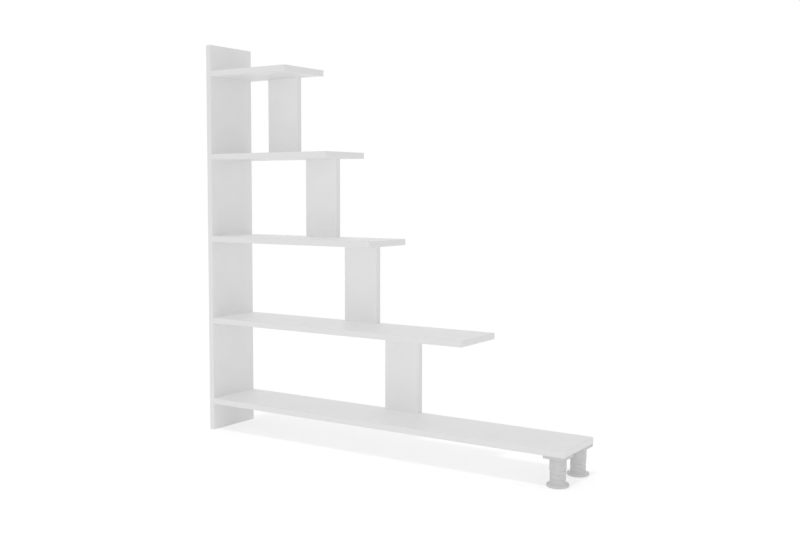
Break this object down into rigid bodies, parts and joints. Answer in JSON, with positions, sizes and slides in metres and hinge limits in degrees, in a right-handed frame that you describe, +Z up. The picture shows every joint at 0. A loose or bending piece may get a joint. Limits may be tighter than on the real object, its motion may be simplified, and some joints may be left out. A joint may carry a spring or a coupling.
{
  "type": "staircase bookshelf",
  "caption": "Free-standing staircase bookshelf: a tall side panel, shelves that grow longer towards the floor, short back boards between them and screw feet under the free end.",
  "frame": {"origin": "on the floor, below the middle of the object's box", "axes": "+X along the shelves away from the side panel, +Y towards the wall, +Z up"},
  "size_m": [1.2194, 0.19, 1.213],
  "materials": {
    "white_board": "white melamine facing on chipboard, fine satin texture",
    "white_edging": "white plastic edging, satin",
    "grey_plastic": "moulded light grey plastic, fine grain",
    "glide_pad": "grey moulded rubber",
    "zinc_steel": "bright zinc plating",
    "zinc_casting": "tumbled zinc casting",
    "white_cap": "smooth white plastic",
    "beech": "planed beech"
  },
  "bodies": {
    "bookshelf": {"side_panel": "white_board", "side_panel_edging": "white_edging", "bottom_shelf": "white_board", "bottom_shelf_edging": "white_edging", "second_shelf": "white_board", "second_shelf_edging": "white_edging", "third_shelf": "white_board", "third_shelf_edging": "white_edging", "fourth_shelf": "white_board", "fourth_shelf_edging": "white_edging", "top_shelf": "white_board", "top_shelf_edging": "white_edging", "first_back_board": "white_board", "first_back_board_edging": "white_edging", "second_back_board": "white_board", "second_back_board_edging": "white_edging", "third_back_board": "white_board", "third_back_board_edging": "white_edging", "fourth_back_board": "white_board", "fourth_back_board_edging": "white_edging", "front_foot_socket": "grey_plastic", "rear_foot_socket": "grey_plastic", "panel_screws": "zinc_steel", "foot_plate_screws": "zinc_steel", "cam_bolts": "zinc_steel", "cam_locks": "zinc_casting", "screw_caps": "white_cap", "shelf_dowels": "beech", "back_board_dowels": "beech"},
    "front_glide": {"front_glide_pad": "glide_pad"},
    "front_leveller": {"front_levelling_foot": "grey_plastic"},
    "rear_glide": {"rear_glide_pad": "glide_pad"},
    "rear_leveller": {"rear_levelling_foot": "grey_plastic"}
  },
  "joints": [
    {"name": "front_foot_rise", "type": "slide", "parent": "bookshelf", "child": "front_glide", "axis": [0, 0, 1], "range_m": [-0.0065, 0.013]},
    {"name": "front_foot_turn", "type": "hinge", "parent": "front_glide", "child": "front_leveller", "pos_m": [0.5797, -0.065, 0], "axis": [0, 0, 1], "range_deg": [-370, 190]},
    {"name": "rear_foot_rise", "type": "slide", "parent": "bookshelf", "child": "rear_glide", "axis": [0, 0, 1], "range_m": [-0.0065, 0.013]},
    {"name": "rear_foot_turn", "type": "hinge", "parent": "rear_glide", "child": "rear_leveller", "pos_m": [0.5797, 0.065, 0], "axis": [0, 0, 1], "range_deg": [-370, 190]}
  ],
  "couplings": [
    {"joint": "front_foot_turn", "follows": "front_foot_rise", "rad_per_m": -483.32},
    {"joint": "rear_foot_turn", "follows": "rear_foot_rise", "rad_per_m": -483.32}
  ]
}
